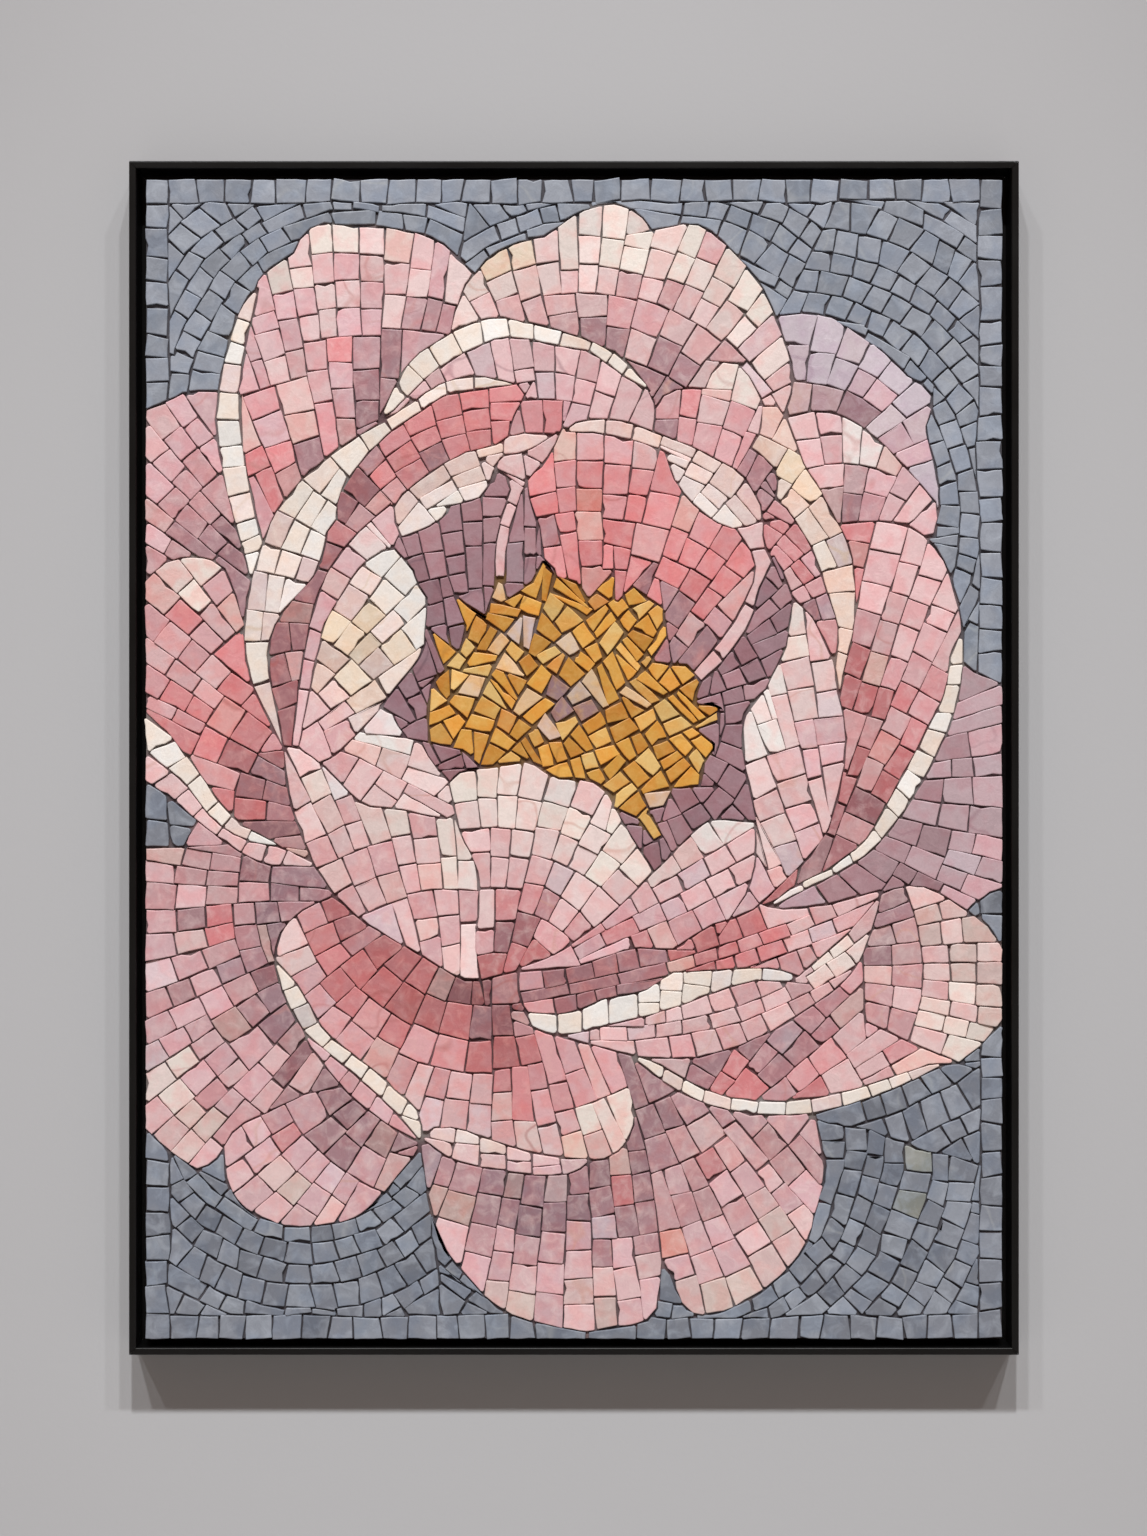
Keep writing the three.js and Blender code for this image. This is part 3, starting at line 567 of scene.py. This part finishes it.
def colour_of(place, plan, t, rng):
    """A stone's colour: its place in the area's range, its touches, and the odd one out of the box."""
    colour = ramp(plan["colours"], t + rng.gauss(0, RANGE_STRAY))
    if plan["mixed"]:
        colour = MARBLES[rng.choice(plan["colours"])]
    for marble, spot, width in plan["touches"]:
        if (place - Vector(spot)).length < width * rng.uniform(*TOUCH_EDGE):
            colour = MARBLES[marble].lerp(colour, rng.uniform(*TOUCH_BLEND))
    if rng.random() < STRAYS:
        colour = colour.lerp(MARBLES[rng.choice(plan["strays"])], rng.uniform(*STRAY_BLEND))
    shade = rng.uniform(*SHADES)
    return colour * (1 + (shade - 1) * (PALE_SHADE if colour.z > PALE else 1.0))


def shape_stones(bm, plan, dust, rng):
    """Turns the flat cut faces into stones: joints, chipped corners, thickness, a tilt and an arris."""
    paint = bm.faces.layers.float_color.new("stone")
    grain = bm.faces.layers.float_color.new("grain")
    arms = [(vert.co.xy - plan["pole"]).length for vert in bm.verts]
    nearest, furthest = min(arms), max(arms)
    for face in in_order(bm.faces):
        place = face.calc_center_median_weighted().xy
        t = ((place - plan["pole"]).length - nearest) / (furthest - nearest)
        colour = (*colour_of(place, plan, t, rng), 1.0)
        face[paint] = colour
        dust.append((place, colour))
        veined = rng.random() < VEINED
        face[grain] = (rng.random(), rng.random(), rng.random(), rng.uniform(*VEIN_DEPTH) * veined)
    joints = bmesh.ops.inset_individual(bm, faces=bm.faces[:], thickness=plan["joint"] / 2 * CORNERWISE)
    crumbs = [f for f in bm.faces if f.calc_area() < CRUMB]
    bmesh.ops.delete(bm, geom=list({*joints["faces"], *crumbs}), context="FACES")
    divide(bm, SIDE_STEP)
    for face in in_order(bm.faces):
        middle = face.calc_center_median_weighted()
        turn = Matrix.Rotation(rng.gauss(0, plan["loose"]), 3, "Z")
        turn = turn * (1 - rng.triangular(0, SHRUNK, 0) - plan["loose"] * LOOSE_SHORT)
        ring = sorted(face.verts, key=lambda vert: tuple(vert.co))
        for vert in ring:
            ragged = Vector((rng.uniform(-RAGGED, RAGGED), rng.uniform(-RAGGED, RAGGED), 0))
            vert.co = middle + turn @ (vert.co - middle) + ragged
        if rng.random() < CHIPPED:
            corner = rng.choice(ring)
            corner.co += (middle - corner.co).normalized() * rng.uniform(*CHIP)
    for turned, worn in CORNERS:
        corners = [v for v in bm.verts if v.calc_edge_angle(0) > turned]
        bmesh.ops.bevel(bm, geom=corners, offset=worn, segments=1, profile=0.5, material=-1,
                        affect="VERTICES", clamp_overlap=True)
        bmesh.ops.dissolve_degenerate(bm, dist=LEAST_EDGE, edges=bm.edges)
    bm.normal_update()
    for face in bm.faces:
        if face.normal.z < 0:
            face.normal_flip()
    raised = bmesh.ops.extrude_face_region(bm, geom=bm.faces[:])["geom"]
    bmesh.ops.translate(bm, verts=[v for v in raised if isinstance(v, bmesh.types.BMVert)],
                        vec=(0, 0, STONE_T - ARRIS))
    bm.normal_update()
    fronts = in_order(f for f in bm.faces if f.normal.z > UPWARD)
    for face in fronts:
        middle = face.calc_center_median()
        slope = Vector((rng.gauss(0, TILT), rng.gauss(0, TILT), 0))
        proud = rng.gauss(0, PROUD)
        for vert in face.verts:
            vert.co.z += min(proud + slope.dot(vert.co - middle), TALLEST)
    for inward, upward in ROUNDING:
        bmesh.ops.inset_individual(bm, faces=fronts, thickness=ARRIS * inward, depth=ARRIS * upward)


# ---- finishes ----
def add(tree, kind, inputs=None, **settings):
    """Adds a node; an input is a value or another node's output socket."""
    node = tree.nodes.new("ShaderNode" + kind)
    for name, value in settings.items():
        setattr(node, name, value)
    for name, value in (inputs or {}).items():
        if isinstance(value, bpy.types.NodeSocket):
            tree.links.new(value, node.inputs[name])
        else:
            node.inputs[name].default_value = value
    return node


def new_material(name, **shader):
    """A material's node tree and its shader, with the shader's own values set."""
    material = bpy.data.materials.new(name)
    material.use_nodes = True
    tree = material.node_tree
    tree.nodes.clear()
    surface = add(tree, "BsdfPrincipled", {key.replace("_", " "): value for key, value in shader.items()})
    add(tree, "OutputMaterial", {"Surface": surface.outputs[0]})
    return material, tree, surface


def per_metre(size_mm):
    """The scale of a noise whose features are this many millimetres across."""
    return 1000.0 / size_mm


def spread(tree, value, low, high, to_low, to_high):
    """The value's range from low to high stretched to another, and held at its ends."""
    return add(tree, "MapRange", {"Value": value, 1: low, 2: high, 3: to_low, 4: to_high}).outputs[0]


def marble(name, pale, rich, vein, cloud_mm=8.0, clouding=0.35, veining=0.5, roughness=0.46):
    """Hand-cut and lightly honed marble. Each stone carries its own colour and its own piece of the block,
    with soft clouds of paler stone, richer patches, a fine crystal grain, the odd vein, and a silky rather
    than shiny face."""
    material, tree, surface = new_material(name, IOR=1.52, Roughness=roughness)
    stone = add(tree, "Attribute", attribute_name="stone").outputs["Color"]
    grain = add(tree, "Attribute", attribute_name="grain")
    coords = add(tree, "TexCoord").outputs["Object"]
    place = add(tree, "VectorMath", {0: coords, 1: grain.outputs["Color"]}, operation="ADD").outputs[0]
    clouds = add(tree, "TexNoise", {"Vector": place, "Scale": per_metre(cloud_mm), "Detail": 3.0,
                                    "Roughness": 0.6, "Distortion": 0.6}).outputs["Fac"]
    drift = add(tree, "TexNoise", {"Vector": place, "Scale": per_metre(cloud_mm * 1.6),
                                   "Detail": 2.0}).outputs["Fac"]
    crystal = add(tree, "TexNoise", {"Vector": place, "Scale": per_metre(1.3), "Detail": 2.0,
                                     "Roughness": 0.7}).outputs["Fac"]
    paling = spread(tree, clouds, 0.45, 0.75, 0.0, clouding)
    colour = add(tree, "Mix", {"Factor": paling, 6: stone, 7: (*linear(pale), 1)},
                 data_type="RGBA").outputs[2]
    seams = add(tree, "TexNoise", {"Vector": place, "Scale": per_metre(34.0), "Detail": 1.5,
                                   "Roughness": 0.35}).outputs["Fac"]
    lines = add(tree, "Math", {0: seams, 1: 0.5}, operation="SUBTRACT").outputs[0]
    lines = add(tree, "Math", {0: lines}, operation="ABSOLUTE").outputs[0]
    lines = spread(tree, lines, 0.004, 0.022, 1.0, 0.0)
    lines = add(tree, "Math", {0: lines, 1: grain.outputs["Alpha"]}, operation="MULTIPLY").outputs[0]
    lines = add(tree, "Math", {0: lines, 1: veining}, operation="MULTIPLY").outputs[0]
    colour = add(tree, "Mix", {"Factor": lines, 6: colour, 7: (*linear(vein), 1)},
                 data_type="RGBA").outputs[2]
    colour = add(tree, "Mix", {"Factor": spread(tree, drift, 0.44, 0.62, 0.0, 1.0), 6: colour,
                               7: (*linear(rich), 1)}, data_type="RGBA", blend_type="MULTIPLY").outputs[2]
    depth = add(tree, "Math", {0: spread(tree, crystal, 0.3, 0.7, 0.955, 1.035),
                               1: spread(tree, drift, 0.3, 0.7, 0.93, 1.05)},
                operation="MULTIPLY").outputs[0]
    colour = add(tree, "VectorMath", {0: colour, "Scale": depth}, operation="SCALE").outputs[0]
    silk = spread(tree, crystal, 0.3, 0.7, roughness - 0.07, roughness + 0.08)
    uneven = add(tree, "Bump", {"Strength": 0.6, "Distance": 0.0007, "Height": clouds})
    pitted = add(tree, "Bump", {"Strength": 0.25, "Distance": 0.00015, "Height": crystal,
                                "Normal": uneven.outputs[0]})
    tree.links.new(colour, surface.inputs["Base Color"])
    tree.links.new(silk, surface.inputs["Roughness"])
    tree.links.new(pitted.outputs[0], surface.inputs["Normal"])
    return material


def powder_coat():
    """Black powder-coated aluminium: a fine even orange peel, satin, a shade paler and duller in broad random
    patches.
    """
    material, tree, surface = new_material("black_powder_coated_aluminium", Specular_IOR_Level=0.36)
    coords = add(tree, "TexCoord").outputs["Object"]
    peel = add(tree, "TexNoise", {"Vector": coords, "Scale": per_metre(1.1), "Detail": 2.0}).outputs["Fac"]
    bloom = add(tree, "TexNoise", {"Vector": coords, "Scale": per_metre(60.0), "Detail": 4.0}).outputs["Fac"]
    shade = add(tree, "ValToRGB", {"Fac": bloom})
    shade.color_ramp.elements[0].position, shade.color_ramp.elements[1].position = 0.3, 0.7
    shade.color_ramp.elements[0].color = (*linear("#070707"), 1)
    shade.color_ramp.elements[1].color = (*linear("#0a0a0a"), 1)
    bump = add(tree, "Bump", {"Strength": 0.3, "Distance": 0.00008, "Height": peel})
    tree.links.new(shade.outputs[0], surface.inputs["Base Color"])
    tree.links.new(spread(tree, bloom, 0.3, 0.7, 0.31, 0.37), surface.inputs["Roughness"])
    tree.links.new(bump.outputs[0], surface.inputs["Normal"])
    return material


def mortar():
    """Dark trowelled thin-bed mortar: sandy, dull, a little paler where it dried first, and dusted with the
    colour of the stones beside it."""
    material, tree, surface = new_material("dark_trowelled_mortar", IOR=1.5, Roughness=0.95)
    coords = add(tree, "TexCoord").outputs["Object"]
    sand = add(tree, "TexNoise", {"Vector": coords, "Scale": per_metre(0.9), "Detail": 3.0}).outputs["Fac"]
    dry = add(tree, "TexNoise", {"Vector": coords, "Scale": per_metre(35.0), "Detail": 3.0}).outputs["Fac"]
    shade = add(tree, "ValToRGB", {"Fac": dry})
    shade.color_ramp.elements[0].position, shade.color_ramp.elements[1].position = 0.35, 0.7
    shade.color_ramp.elements[0].color = (*linear("#2a2123"), 1)
    shade.color_ramp.elements[1].color = (*linear("#3a2f32"), 1)
    dust = add(tree, "Attribute", attribute_name="dust").outputs["Color"]
    dusted = add(tree, "Mix", {"Factor": 0.2, 6: shade.outputs[0], 7: dust}, data_type="RGBA").outputs[2]
    bump = add(tree, "Bump", {"Strength": 0.7, "Distance": 0.0004, "Height": sand})
    tree.links.new(dusted, surface.inputs["Base Color"])
    tree.links.new(bump.outputs[0], surface.inputs["Normal"])
    return material


def birch_board():
    """Birch plywood, sanded: upright rotary-cut grain on the back, and black edges: sealed with paint, and
    also painted shade for the dark gap between the picture and the frame.
    """
    material, tree, surface = new_material("sanded_birch_plywood", IOR=1.5, Roughness=0.6)
    coords = add(tree, "TexCoord")
    squeezed = add(tree, "Mapping", {"Vector": coords.outputs["Object"], "Scale": (1.0, 1.0, 0.09)})
    figure = add(tree, "TexNoise", {"Vector": squeezed.outputs[0], "Scale": per_metre(28.0), "Detail": 5.0,
                                    "Distortion": 1.4}).outputs["Fac"]
    fibre = add(tree, "TexNoise", {"Vector": squeezed.outputs[0], "Scale": per_metre(1.4),
                                   "Detail": 3.0}).outputs["Fac"]
    shade = add(tree, "ValToRGB", {"Fac": figure})
    shade.color_ramp.elements[0].position, shade.color_ramp.elements[1].position = 0.3, 0.72
    shade.color_ramp.elements[0].color = (*linear("#b98f63"), 1)
    shade.color_ramp.elements[1].color = (*linear("#dcbd92"), 1)
    darker = add(tree, "VectorMath", {0: shade.outputs[0], "Scale": spread(tree, fibre, 0.3, 0.7, 0.9, 1.04)},
                 operation="SCALE").outputs[0]
    # all but the back (the edges and the hidden front) is black: edge paint, and painted shade standing in
    # for the shadow deep in the gap
    facing = add(tree, "SeparateXYZ", {0: coords.outputs["Normal"]}).outputs["Y"]
    colour = add(tree, "Mix", {"Factor": spread(tree, facing, 0.4, 0.6, 0.0, 1.0),
                               6: (*linear("#1a1817"), 1), 7: darker}, data_type="RGBA").outputs[2]
    bump = add(tree, "Bump", {"Strength": 0.3, "Distance": 0.0002, "Height": fibre})
    tree.links.new(colour, surface.inputs["Base Color"])
    tree.links.new(bump.outputs[0], surface.inputs["Normal"])
    return material


FINISHES = {
    "frame": powder_coat(),
    "board": birch_board(),
    "bed": mortar(),
    "slate": marble("hand_cut_blue_grey_marble", "#b4bbc6", "#e9eef4", "#b4b6b4", cloud_mm=11.0,
                    clouding=0.45, veining=0.3),
    "cream": marble("hand_cut_cream_marble", "#f4efe8", "#fbf4ef", "#cdb193"),
    "blush": marble("hand_cut_blush_marble", "#f0ded9", "#fbeae9", "#c99b8c"),
    "rose": marble("hand_cut_rose_marble", "#edd2d0", "#fae7e8", "#bd8480"),
    "coral": marble("hand_cut_coral_marble", "#e8b8b2", "#fae3e2", "#a8605c"),
    "mauve": marble("hand_cut_mauve_marble", "#cdb1b6", "#f6e8ea", "#8d6672", clouding=0.25),
    "plum": marble("hand_cut_plum_marble", "#b3929c", "#f6e8ea", "#5f4450", clouding=0.25),
    "lilac": marble("hand_cut_lilac_marble", "#e0d3da", "#f3edf2", "#a78f9f"),
    "gold": marble("hand_cut_yellow_siena_marble", "#e8c47a", "#f9e7cc", "#8d5f24", clouding=0.3),
}


# ---- build ----
def finished(bm, name):
    """The bmesh as a new object in the frame, its place in its mesh."""
    mesh = bpy.data.meshes.new(name)
    bm.to_mesh(mesh)
    bm.free()
    piece = bpy.data.objects.new(name, mesh)
    bpy.context.scene.collection.objects.link(piece)
    return piece


TO_FRAME = (Matrix.Scale(MM, 4) @ Matrix.Translation((PICTURE.x, STONE_BACK, PICTURE.y))
            @ Matrix.Rotation(math.radians(90), 4, "X"))


def stones(node, dust):
    """All the stones of one area, as one piece that stands for its slab. Dust takes their colours."""
    rng = random.Random(node)
    bm = cut_stones(node, rng)
    shape_stones(bm, AREAS[node], dust, rng)
    bm.transform(TO_FRAME)
    piece = finished(bm, "stones_" + node)
    slot = nodes[node].data.materials[0].name.split(".")[0]
    piece.data.materials.append(FINISHES[slot])
    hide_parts(node)
    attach(piece, "root")
    return piece


BED_GRID = (90, 120)
BED_MARGIN = 1.0                 # the mortar is this much smaller than the picture each way
BED_UNEVEN = 0.35


def mortar_bed(dust):
    """The setting bed with the mortar that has squeezed up between the stones, a little uneven."""
    rng = random.Random("mortar")
    stones_at = kdtree.KDTree(len(dust))
    for index, (place, _) in enumerate(dust):
        stones_at.insert((*place, 0), index)
    stones_at.balance()
    bm = bmesh.new()
    bmesh.ops.create_grid(bm, x_segments=BED_GRID[0], y_segments=BED_GRID[1], size=0.5)
    dusting = bm.verts.layers.float_color.new("dust")
    bmesh.ops.scale(bm, verts=bm.verts, vec=(PIC_W - BED_MARGIN, PIC_H - BED_MARGIN, 1.0))
    bmesh.ops.translate(bm, verts=bm.verts, vec=(PIC_W / 2, PIC_H / 2, STONE_T - BED_DEPTH))
    skin = bm.faces[:]
    below = bmesh.ops.extrude_face_region(bm, geom=skin)["geom"]
    below = [v for v in below if isinstance(v, bmesh.types.BMVert)]
    squeezed = set(bm.verts) - set(below)
    bmesh.ops.translate(bm, verts=below, vec=(0, 0, STONE_FRONT - STONE_BACK + BED_DEPTH - BED_T))
    for vert in bm.verts:
        if vert not in squeezed:
            continue
        vert[dusting] = dust[stones_at.find((vert.co.x, vert.co.y, 0))[1]][1]
        vert.co.z += rng.uniform(-BED_UNEVEN, BED_UNEVEN)
    bmesh.ops.recalc_face_normals(bm, faces=bm.faces)
    bm.transform(TO_FRAME)
    piece = finished(bm, "mortar_bed")
    piece.data.materials.append(FINISHES["bed"])
    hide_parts("setting_bed")
    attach(piece, "root")


def rail(node):
    """A frame rail with the worn, rounded front edges that catch the light."""
    bm = bmesh.new()
    bm.from_mesh(nodes[node].data)
    bmesh.ops.remove_doubles(bm, verts=bm.verts, dist=WELD * MM)
    bmesh.ops.dissolve_limit(bm, angle_limit=math.radians(1), verts=bm.verts, edges=bm.edges)
    edges = [e for e in bm.edges if e.calc_length() > LONG_EDGE
             and all(abs(v.co.y / MM - LIP) < LIP_ROUND for v in e.verts)]
    bmesh.ops.bevel(bm, geom=edges, offset=LIP_RADIUS * MM, segments=3, profile=0.5, material=-1,
                    affect="EDGES")
    piece = finished(bm, "coated_" + node)
    piece.data.materials.append(FINISHES["frame"])
    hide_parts(node)
    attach(piece, "root")


dust = []
for area_name in AREAS:
    stones(area_name, dust)
mortar_bed(dust)
for side in ("bottom", "left", "top", "right"):
    rail("frame_" + side)
nodes["backing_board"].data.materials[0] = FINISHES["board"]


# ---- stage, light and camera ----
def plain(name, colour, roughness):
    """A smooth matt paint with the faint unevenness of a roller."""
    material, tree, surface = new_material(name, Base_Color=(*linear(colour), 1), Roughness=roughness)
    coords = add(tree, "TexCoord").outputs["Object"]
    nap = add(tree, "TexNoise", {"Vector": coords, "Scale": per_metre(3.0), "Detail": 2.0}).outputs["Fac"]
    bump = add(tree, "Bump", {"Strength": 0.15, "Distance": 0.0003, "Height": nap})
    tree.links.new(bump.outputs[0], surface.inputs["Normal"])
    return material, tree, surface


def sheet_of(name, size, place, turn, material):
    """A flat square of the stage."""
    bm = bmesh.new()
    bmesh.ops.create_grid(bm, x_segments=1, y_segments=1, size=size)
    bm.transform(Matrix.Translation(place) @ turn)
    sheet = finished(bm, name)
    sheet.data.materials.append(material)
    return sheet


wall_paint, tree, surface = plain("matt_wall_paint", "#b4b4b6", 0.9)
backfacing = add(tree, "NewGeometry").outputs["Backfacing"]
clear = add(tree, "BsdfTransparent").outputs[0]
one_sided = add(tree, "MixShader", {0: backfacing, 1: surface.outputs[0], 2: clear})
tree.links.new(one_sided.outputs[0], tree.nodes["Material Output"].inputs["Surface"])
WALL_GAP = 0.5 * MM
FLOOR = -1.9
WALL_HALF, FLOOR_HALF = 6.0, 9.0
wall = sheet_of("stage_wall", WALL_HALF, (0, WALL_GAP, FLOOR + WALL_HALF),
                Matrix.Rotation(math.radians(90), 4, "X"), wall_paint)
wall.visible_shadow = False      # so that the fill from behind reaches the panel's back
sheet_of("stage_floor", FLOOR_HALF, (0, 0, FLOOR), Matrix.Identity(4),
         plain("pale_matt_floor", "#b0afac", 0.8)[0])


COOL = (0.985, 1.0, 1.01)     # the lamps are a little cooler than the warm light in the shadows
WARM = (1.5, 0.92, 0.66, 1)
ROOM_LIGHT = 0.102
CONE = math.radians(18)
SUN_WIDTH = 2.0                  # in degrees


def sun(name, along, strength, angle):
    """A soft sun that shines along a direction."""
    lamp = bpy.data.lights.new(name, "SUN")
    lamp.energy, lamp.angle = strength, math.radians(angle)
    lamp.color = COOL
    light = bpy.data.objects.new(name, lamp)
    light.rotation_euler = Vector(along).to_track_quat("-Z", "Y").to_euler()
    bpy.context.scene.collection.objects.link(light)


def spot(name, place, aim, power):
    """A lamp with a soft-edged cone, so that the wall dims towards its corners."""
    lamp = bpy.data.lights.new(name, "SPOT")
    lamp.energy, lamp.shadow_soft_size = power, 0.08
    lamp.spot_size, lamp.spot_blend = CONE, 1.0
    lamp.color = COOL
    light = bpy.data.objects.new(name, lamp)
    light.location = place
    light.rotation_euler = (Vector(aim) - Vector(place)).to_track_quat("-Z", "Y").to_euler()
    bpy.context.scene.collection.objects.link(light)


spot("ceiling_lamp_middle", place=(0, -4.0, 4.0), aim=(0, 0, -0.45), power=735.0)
for side, slant in (("left", 1), ("right", -1)):
    sun("ceiling_lamp_" + side, along=(slant * 0.3, 1, -1.16), strength=0.78, angle=SUN_WIDTH)
    sun("ceiling_lamp_far_" + side, along=(slant * 0.56, 1, -1.16), strength=0.38, angle=SUN_WIDTH)
sun("rear_fill", along=(0.2, -1, -0.5), strength=1.1, angle=12.0)

world = bpy.data.worlds.new("soft_room")
world.use_nodes = True
world.node_tree.nodes["Background"].inputs["Color"].default_value = WARM
world.node_tree.nodes["Background"].inputs["Strength"].default_value = ROOM_LIGHT
bpy.context.scene.world = world
bpy.context.scene.view_settings.view_transform = "Standard"

EYE = (-0.0003, -2.489, -0.3994)         # square to the picture, a little below its middle
camera = bpy.data.objects.new("camera", bpy.data.cameras.new("camera"))
camera.data.lens, camera.data.sensor_width = 85.0, 36.0
camera.location = EYE
camera.rotation_euler = (math.radians(90), 0, 0)
bpy.context.scene.collection.objects.link(camera)
bpy.context.scene.camera = camera
